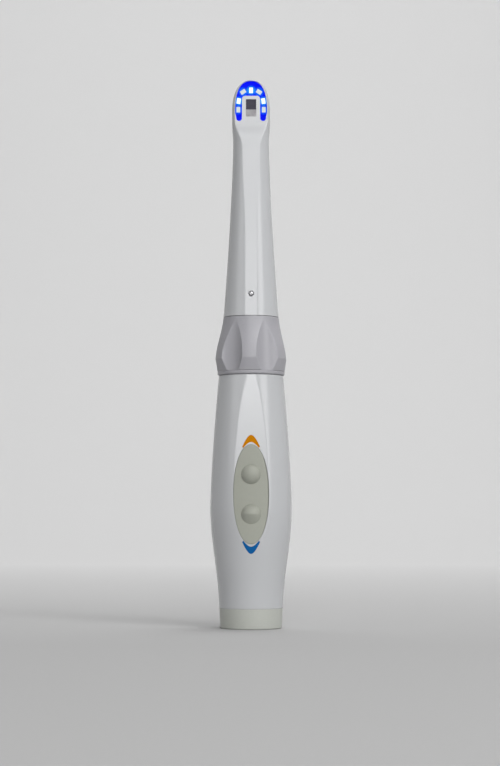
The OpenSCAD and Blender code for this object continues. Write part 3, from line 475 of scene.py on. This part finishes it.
def scallop_reach(angle, z):
    """Distance from the axis to the nearest scallop's wall, FAR_OFF where none is met."""
    slope = (SCALLOP_FOOT - SCALLOP_TOP) / (RING_H - RING_FOOT)
    middle = SCALLOP_FOOT + SCALLOP_R - (z - RING_FOOT) * slope
    step = 2 * math.pi / SCALLOPS
    turn = angle - RING_TURN - step / 2
    turn -= step * round(turn / step)
    inside = SCALLOP_R ** 2 - (middle * math.sin(turn)) ** 2
    if inside <= 0:
        return FAR_OFF
    return middle * math.cos(turn) - math.sqrt(inside)


def build_ring():
    """The scalloped ring, outside from foot to top and back down through its bore."""
    angles = [math.radians(a) for a in spread(0, 360, 480)[:-1]]
    rows = []
    for r, z in ring_profile():
        row = []
        for a in angles:
            reach = scallop_reach(a, z) if z > RING_FOOT + LIP_GROOVE else FAR_OFF
            row.append(turned_point(smooth_min(r, reach, SCALLOP_SOFT), a, RING_Z + z))
        rows.append(row)
    seat_z = RING_H - RING_SEAT_H
    inside = [(RING_SEAT_R, RING_H), (RING_SEAT_R, seat_z), (RING_BORE, seat_z), (RING_BORE, 0)]
    rows += [[turned_point(r, a, RING_Z + z) for a in angles] for r, z in inside]
    ring = grid_solid("scalloped_ring", rows, hollow=True)
    shade(ring, 30)
    stand_for(ring, "ring", "ring_grey", "focus_ring")


# Neck and head

def neck_r(z):
    """The neck's radius: it narrows to the waist and widens a little to the head."""
    if z < WAIST_Z:
        bend = ((WAIST_Z - z) / (WAIST_Z - NECK_Z)) ** NECK_BEND
        return WAIST_R + (NECK_BASE_R - WAIST_R) * bend
    return WAIST_R + (HEAD_R - WAIST_R) * ease(share(z, WAIST_Z + 1, FACE_Z))


def neck_half_flat(z):
    """Half the width of the neck's flat front, which flares into the head's face."""
    middle = (WAIST_FLAT - NECK_FLAT) * ease(share(z, FLAT_WIDENS_Z, WAIST_Z))
    return NECK_FLAT + middle + (HEAD_FLAT - WAIST_FLAT) * ease(share(z, WAIST_Z - 1, FACE_Z))


def neck_front(z):
    """How far the flat front stands ahead of the axis."""
    return math.sqrt(neck_r(z) ** 2 - neck_half_flat(z) ** 2)


def neck_row(z, angles, inset=0.0, front_wall=0.0, top=TOTAL_H):
    """One ring of the neck; above HEAD_Z it draws together towards the face up to the top."""
    t = share(z, HEAD_Z, top)
    scale = (1 - t ** HEAD_POWER) ** (1 / HEAD_POWER)
    radius, front = neck_r(z) - inset, neck_front(z) - front_wall
    soft = 0.05 + 0.15 * share(z, WAIST_Z, FACE_Z)
    row = []
    for a in angles:
        x, y, _ = turned_point(flat_section(radius, front, a, soft), a, z)
        row.append((scale * x, -front + scale * (y + front), z))
    return row


def arch_half(inset):
    """The light arch's right half: over the top, down the outside, and up the inside."""
    reach = HEAD_FLAT - ARCH_RIM - inset
    rise = ARCH_TOP - HEAD_Z - ARCH_RIM - inset
    middle = (ARCH_INNER + LEG_TIP) / 2
    tip = (LEG_TIP - ARCH_INNER) / 2 - inset
    half = []
    for x, z in arc(0, 0, 1, 90, 0, 30):
        across, up = (max(v, 0) ** (2 / HEAD_POWER) for v in (x, z))
        half.append((reach * across, HEAD_Z + rise * up))
    for t in spread(0.1, 0.9, 8):
        side = reach - (reach - middle - tip) * ease(t)
        half.append((side, HEAD_Z - (HEAD_Z - ARCH_FOOT - tip) * t))
    half += arc(middle, ARCH_FOOT + tip + inset, tip, 0, -180, 12)
    corner_x = ARCH_INNER + inset - ARCH_CORNER
    corner_z = ARCH_INNER_TOP + inset - ARCH_CORNER
    return half + arc(corner_x, corner_z, ARCH_CORNER, 0, 90, 10)


def arch_outline(inset=0.0):
    """The light arch on the face, right round."""
    half = arch_half(inset)
    return half + [(-x, z) for x, z in reversed(half[1:])]


def window_outline():
    """The window's rectangle on the face, with round corners."""
    reach_x, reach_z = WINDOW_W / 2 - WINDOW_CORNER, WINDOW_H / 2 - WINDOW_CORNER
    points = []
    for turn, sx, sz in ((0, 1, 1), (90, -1, 1), (180, -1, -1), (270, 1, -1)):
        points += arc(sx * reach_x, sz * reach_z, WINDOW_CORNER, turn, turn + 90, 6)
    return [(x, z + WINDOW_Z + WINDOW_H / 2) for x, z in points]


def build_arch():
    """The clear cover and the blue board, with the outline of the head's channel."""
    outline = arch_outline(LAYER_GAP)
    cover = prism("arch_cover", outline, on_face(COVER_T), COVER_T)
    stand_for(cover, "handle", "clear_cover", "light_cover")
    board = prism("arch_board", outline, on_face(CHANNEL_DEPTH), BOARD_T)
    stand_for(board, "handle", "light_board_blue", "light_board")


def neck_cavity():
    """A cutter for the hollow inside the neck and head, with a thicker wall behind the face."""
    angles = [math.radians(a) for a in spread(0, 360, 60)[:-1]]
    top = TOTAL_H - NECK_WALL
    levels = spread(NECK_Z - 1, WAIST_Z, 12) + spread(WAIST_Z + 1, HEAD_Z, 8)
    levels += [HEAD_Z + (top - HEAD_Z) * t for t in (0.3, 0.6, 0.85)]
    rows = []
    for z in levels:
        wall = NECK_WALL + FACE_WALL_MORE * share(z, WAIST_Z + 1, FACE_Z - 1)
        rows.append(neck_row(z, angles, NECK_WALL, wall, top))
    return grid_solid("tool", rows)


def build_neck():
    """The neck and head in one skin, hollow, with the arch, window and screw let in."""
    angles = angles_round(75, 0.5, 3)
    levels = [NECK_Z] + spread(NECK_Z + 0.15, WAIST_Z, 70) + spread(WAIST_Z + 0.5, HEAD_Z, 40)
    rises = [math.sin(math.radians(a)) for a in spread(2, 88.5, 44)]
    levels += [HEAD_Z + (TOTAL_H - HEAD_Z) * rise for rise in rises]
    neck = grid_solid("neck_and_head", [neck_row(z, angles) for z in levels])
    screw = Matrix.Translation((0, 0, SCREW_Z)) @ Matrix.Rotation(math.radians(90), 4, "X")
    sunk = screw @ Matrix.Translation((0, 0, neck_front(SCREW_Z) - SCREW_SUNK))
    tools = [
        neck_cavity(),
        prism("tool", arch_outline(), on_face(CHANNEL_DEPTH), 8),
        prism("tool", window_outline(), on_face(WINDOW_DEPTH), 8),
        prism("tool", circle(SCREW_R + 0.05, 48), screw, 20),
        prism("tool", circle(SCREW_R + 0.25, 48), sunk, 5),
    ]
    combine(neck, tools, "DIFFERENCE")
    shade(neck, 30)
    stand_for(neck, "handle", "white_shell", "neck_shell")


# Materials

def add_node(tree, kind, **values):
    """A shader node, with its sockets' values by name."""
    made = tree.nodes.new("ShaderNode" + kind)
    for name, value in values.items():
        made.inputs[name.replace("_", " ")].default_value = value
    return made


class Paint:
    """A material on the object's own coordinates, built up step by step."""

    def __init__(self, name):
        self.material = bpy.data.materials.new(name)
        MATERIALS[name] = self.material
        self.material.use_nodes = True
        self.tree = self.material.node_tree
        self.shader = self.tree.nodes["Principled BSDF"]
        self.place = self.tree.nodes.new("ShaderNodeTexCoord").outputs["Object"]

    def link(self, source, target):
        self.tree.links.new(source, target)

    def add(self, kind, **values):
        return add_node(self.tree, kind, **values)

    def noise(self, scale, detail, stretch=None):
        """Soft noise, drawn out along an axis by the stretch."""
        source = self.place
        if stretch:
            mapping = self.add("Mapping", Scale=stretch)
            self.link(self.place, mapping.inputs["Vector"])
            source = mapping.outputs["Vector"]
        made = self.add("TexNoise", Scale=scale, Detail=detail)
        self.link(source, made.inputs["Vector"])
        return made.outputs["Fac"]

    def remap(self, source, low, high, start=0.3, end=0.7):
        """Takes start to low and end to high; the defaults spread a noise evenly."""
        made = self.add("MapRange", From_Min=start, From_Max=end, To_Min=low, To_Max=high)
        self.link(source, made.inputs["Value"])
        return made.outputs["Result"]

    def along(self, axis):
        """One coordinate of the place."""
        split = self.add("SeparateXYZ")
        self.link(self.place, split.inputs["Vector"])
        return split.outputs[axis]

    def calc(self, operation, a, b):
        """A sum, product or the like of two sockets."""
        made = self.add("Math")
        made.operation = operation
        self.link(a, made.inputs[0])
        self.link(b, made.inputs[1])
        return made.outputs["Value"]

    def mix(self, fac, a, b):
        """A colour between two, each given as numbers or as a socket."""
        made = self.add("Mix")
        made.data_type = "RGBA"
        # Inputs 6 and 7 and output 2 are the node's colour sockets
        self.link(fac, made.inputs[0])
        for socket, value in ((made.inputs[6], a), (made.inputs[7], b)):
            if isinstance(value, bpy.types.NodeSocket):
                self.link(value, socket)
            else:
                socket.default_value = (*value, 1)
        return made.outputs[2]

    def feed(self, name, source):
        """Links a source to one of the shader's sockets."""
        self.link(source, self.shader.inputs[name])

    def bump(self, source, strength, distance):
        made = self.add("Bump", Strength=strength, Distance=distance)
        self.link(source, made.inputs["Height"])
        self.feed("Normal", made.outputs["Normal"])

    def set(self, **values):
        for name, value in values.items():
            self.shader.inputs[name.replace("_", " ")].default_value = value


def scaled(colour, factor):
    """A colour made lighter or darker."""
    return tuple(c * factor for c in colour)


def grained(name, colour, shift, rough, grain=9000, lift=0.000006, **extra):
    """Moulded plastic: faint clouding, uneven gloss and a fine moulded grain."""
    paint = Paint(name)
    cloud = paint.remap(paint.noise(900, 4), 0, 1)
    paint.feed("Base Color", paint.mix(cloud, colour, scaled(colour, shift)))
    paint.feed("Roughness", paint.remap(paint.noise(700, 3), rough * 0.94, rough * 1.06))
    paint.bump(paint.noise(grain, 2), 0.35, lift)
    paint.set(**extra)


def metal(name, colour, rough, stretch=(1, 1, 60)):
    """Turned or brushed metal with fine lines across its length."""
    paint = Paint(name)
    lines = paint.noise(900, 3, stretch)
    paint.feed("Base Color", paint.mix(paint.remap(lines, 0, 1), colour, scaled(colour, 0.82)))
    paint.feed("Roughness", paint.remap(lines, rough * 0.75, rough * 1.3))
    paint.bump(lines, 0.25, 0.00001)
    paint.set(Metallic=1.0)


def glass(name, colour, rough=0.03):
    """Clear glass with a faint smear in its gloss."""
    paint = Paint(name)
    smear = paint.noise(300, 3)
    paint.feed("Base Color", paint.mix(paint.remap(smear, 0, 1), colour, scaled(colour, 0.97)))
    paint.feed("Roughness", paint.remap(smear, rough, rough * 2))
    paint.set(Transmission_Weight=1.0, IOR=1.46)


def thin_glass(name, tint, clear, edge):
    """A thin clear cover: seen through from in front, a mirror at a grazing angle."""
    paint = Paint(name)
    facing = paint.add("LayerWeight", Blend=0.35).outputs["Facing"]
    smear = paint.remap(paint.noise(400, 3), 0.9, 1.1)
    paint.feed("Alpha", paint.calc("MULTIPLY", paint.remap(facing, clear, edge, 0.2, 1), smear))
    paint.set(Metallic=1.0, Roughness=0.05, Base_Color=(*tint, 1))


def window_painted_lens_shade():
    """The window, painted: a dark lens square of painted shade above a pale strip of painted
    reflection.
    """
    paint = Paint("window")
    low = WINDOW_Z + LENS_DROP
    upper = paint.remap(paint.along("Z"), 0, 1, (low - 0.1) * MM, (low + 0.1) * MM)
    haze = paint.remap(paint.noise(700, 3), 0, 1)
    # Painted shade: the lens seen through the clear glass is painted near black
    dark = paint.mix(haze, (0.014, 0.011, 0.032), (0.026, 0.020, 0.050))
    # Painted reflection: the pale strip under the lens is a mirror's reflection painted into its
    # colour
    pale = paint.mix(haze, (0.30, 0.29, 0.31), (0.44, 0.43, 0.45))
    paint.feed("Base Color", paint.mix(upper, pale, dark))
    paint.set(Roughness=0.2, Specular_IOR_Level=0.2)


def light_glow(paint):
    """The sum of the painted glows round the lights, each falling off with the distance from it."""
    glow = None
    for x, z, power in LED_PLACES:
        offset = paint.add("VectorMath")
        offset.operation = "DISTANCE"
        offset.inputs[1].default_value = (x * MM, (CHANNEL_DEPTH - BOARD_T - FACE_Y) * MM, z * MM)
        paint.link(paint.place, offset.inputs[0])
        near = paint.remap(offset.outputs["Value"], power, 0, 0.0008, 0.0020)
        glow = near if glow is None else paint.calc("ADD", glow, near)
    return glow


def lit_board():
    """The blue board with a painted glow of its own: deep blue all over, cyan round each light."""
    paint = Paint("light_board_blue")
    glow = paint.remap(light_glow(paint), 0, 1, 0, 1.3)
    patch = paint.remap(paint.noise(500, 3), 0, 1)
    deep = paint.mix(patch, (0.0, 0.003, 0.88), (0.0, 0.005, 0.98))
    paint.feed("Base Color", paint.mix(patch, (0, 0.002, 0.05), (0, 0.004, 0.08)))
    # Painted glow: the board emits light though it is no lamp, standing in for the lights' glow
    # through the arch
    paint.feed("Emission Color", paint.mix(glow, deep, (0.02, 0.42, 0.92)))
    paint.set(Roughness=0.5, Emission_Strength=0.95, Specular_IOR_Level=0.05)


def lit_led(name, strength):
    """A lit emitter in clear resin, a little warmer in places."""
    paint = Paint(name)
    warm = paint.remap(paint.noise(1500, 2), 0, 1)
    paint.feed("Base Color", paint.mix(warm, (0.10, 0.11, 0.12), (0.12, 0.12, 0.10)))
    paint.feed("Emission Color", paint.mix(warm, (0.80, 0.95, 1.0), (1.0, 1.0, 0.93)))
    paint.set(Roughness=0.4, Emission_Strength=strength)


def make_materials():
    """One material for each slot, and one each for the dim lights and the window."""
    grained("white_shell", (0.60, 0.61, 0.625), 0.993, 0.24, Coat_Weight=0.3, Coat_Roughness=0.12)
    grained("cap_grey", (0.57, 0.585, 0.54), 0.975, 0.42)
    grained("ring_grey", (0.425, 0.42, 0.45), 0.98, 0.36, 7000, 0.00002)
    grained("pad_silicone", (0.395, 0.405, 0.35), 0.97, 0.55, 5000, 0.00003, Sheen_Weight=0.15)
    grained("orange_inlay", (0.66, 0.235, 0.0), 0.95, 0.5, Specular_IOR_Level=0.04)
    grained("blue_inlay", (0.008, 0.13, 0.40), 0.94, 0.5, Specular_IOR_Level=0.06)
    metal("screw_steel", (0.42, 0.42, 0.43), 0.16, (60, 1, 60))
    thin_glass("clear_cover", (0.10, 0.20, 0.90), 0.0, 0.25)
    lit_board()
    lit_led("led_white", 1.15)
    lit_led("led_dim", 0.60)
    glass("optical_glass", (0.93, 0.96, 0.98))
    window_painted_lens_shade()
    metal("optics_grey", (0.42, 0.43, 0.45), 0.35)
    grained("black_plastic", (0.012, 0.012, 0.013), 0.8, 0.45)
    grained("frame_plastic", (0.06, 0.062, 0.068), 0.85, 0.5)
    grained("circuit_green", (0.012, 0.10, 0.035), 0.8, 0.35)
    grained("chip_black", (0.015, 0.015, 0.017), 0.8, 0.5)
    metal("shield_can", (0.62, 0.62, 0.61), 0.3)
    metal("contact_brass", (0.72, 0.50, 0.18), 0.25)
    grained("cell_wrap", (0.02, 0.07, 0.25), 0.9, 0.3)
    metal("tube_aluminium", (0.62, 0.63, 0.64), 0.33)
    metal("carriage_brass", (0.60, 0.42, 0.16), 0.3)
    grained("seal_rubber", (0.012, 0.012, 0.012), 0.8, 0.6)
    grained("washer_plastic", (0.70, 0.66, 0.57), 0.95, 0.4)
    grained("ribbon_amber", (0.38, 0.16, 0.02), 0.9, 0.3)


def wear(obj, material):
    """Gives an object one material in place of what it has."""
    obj.data.materials.clear()
    obj.data.materials.append(MATERIALS[material])


def paint_everything():
    """Gives each solid and each built object the material of its slot."""
    for entry in frame["record"]["subparts"]:
        name, material = entry["node"], entry["material_slot"]
        if name in DIM_LIGHTS:
            material = "led_dim"
        # The window glass wears the painted lens shade and painted reflection in place of its slot's
        # material
        if name == "window_glass":
            material = "window"
        wear(NODES[name], material)
    for obj, slot in BUILT:
        wear(obj, slot)


# Stage: floor, backdrop, lights and camera

def studio_paper():
    """Pale paper, lighter on the backdrop than on the floor in front."""
    paint = Paint("studio_paper")
    far = paint.remap(paint.along("Y"), 0, 1, PAPER_NEAR_Y, PAPER_FAR_Y)
    fibre = paint.remap(paint.noise(900, 3), 0, 1)
    near = paint.mix(fibre, (PAPER_NEAR,) * 3, (PAPER_NEAR * 0.98,) * 3)
    back = paint.mix(fibre, (PAPER_FAR,) * 3, (PAPER_FAR * 0.98,) * 3)
    paint.feed("Base Color", paint.mix(far, near, back))
    paint.set(Roughness=0.85)


def build_stage():
    """A pale floor that curves up into a backdrop."""
    bm = bmesh.new()
    line = [(FLOOR_FRONT, 0.0), (FLOOR_BACK, 0.0)]
    line += [
        (FLOOR_BACK + WALL_CURVE * math.sin(a), WALL_CURVE * (1 - math.cos(a)))
        for a in spread(0.1, math.pi / 2, 14)
    ]
    line.append((FLOOR_BACK + WALL_CURVE, WALL_TOP))
    rows = [[bm.verts.new((x, y, z)) for x in (-FLOOR_HALF_W, FLOOR_HALF_W)] for y, z in line]
    for low, high in zip(rows, rows[1:]):
        bm.faces.new([low[0], low[1], high[1], high[0]])
    floor = new_object("studio_floor", bm)
    for face in floor.data.polygons:
        face.use_smooth = True
    studio_paper()
    wear(floor, "studio_paper")
    floor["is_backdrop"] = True


def area_light(name, place, target, size, power):
    """A soft box that points at its target."""
    light = bpy.data.lights.new(name, "AREA")
    light.shape = "RECTANGLE"
    light.size, light.size_y = size
    light.energy = power
    obj = bpy.data.objects.new(name, light)
    bpy.context.collection.objects.link(obj)
    obj.location = place
    aim = Vector(target) - Vector(place)
    obj.rotation_euler = aim.to_track_quat("-Z", "Y").to_euler()


def build_world():
    """Even studio light that falls off to the left, with a pale background of its own."""
    world = bpy.data.worlds.new("studio")
    bpy.context.scene.world = world
    world.use_nodes = True
    tree = world.node_tree
    link = tree.links.new
    split = add_node(tree, "SeparateXYZ")
    link(add_node(tree, "TexCoord").outputs["Generated"], split.inputs["Vector"])
    fall = add_node(tree, "MapRange", From_Min=-0.9, From_Max=0.5)
    fall.inputs["To Min"].default_value = WORLD_LEFT
    fall.inputs["To Max"].default_value = WORLD_RIGHT
    link(split.outputs["X"], fall.inputs["Value"])
    path = add_node(tree, "LightPath")
    seen = path.outputs["Is Camera Ray"]
    for ray in ("Is Glossy Ray", "Is Transmission Ray"):
        either = add_node(tree, "Math")
        either.operation = "MAXIMUM"
        link(seen, either.inputs[0])
        link(path.outputs[ray], either.inputs[1])
        seen = either.outputs["Value"]
    strength = add_node(tree, "Mix", B=WORLD_SEEN)
    link(seen, strength.inputs["Factor"])
    link(fall.outputs["Result"], strength.inputs["A"])
    background = tree.nodes["Background"]
    background.inputs["Color"].default_value = (1, 1, 1, 1)
    link(strength.outputs["Result"], background.inputs["Strength"])


def build_camera():
    """The photo's view: level with the handle, tilted up a little."""
    camera = bpy.data.cameras.new("camera")
    camera.lens, camera.sensor_width = CAMERA_LENS, 36
    camera.clip_start, camera.clip_end = 0.01, 20
    obj = bpy.data.objects.new("camera", camera)
    bpy.context.collection.objects.link(obj)
    obj.location = CAMERA_PLACE
    obj.rotation_euler = (math.radians(90 + CAMERA_PITCH), 0, 0)
    bpy.context.scene.camera = obj


build_handle()
build_pad()
build_button("upper_button", "upper_key", 1, False)
build_button("lower_button", "lower_key", -1, True)
build_ring()
build_neck()
build_arch()
make_materials()
paint_everything()

build_stage()
for light in LIGHTS:
    area_light(*light)
build_world()
build_camera()
bpy.context.scene.view_settings.view_transform = "Standard"

sizes = {"frame": box_at_load, "looks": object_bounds()}
json.loads(json.dumps(sizes, default=list))
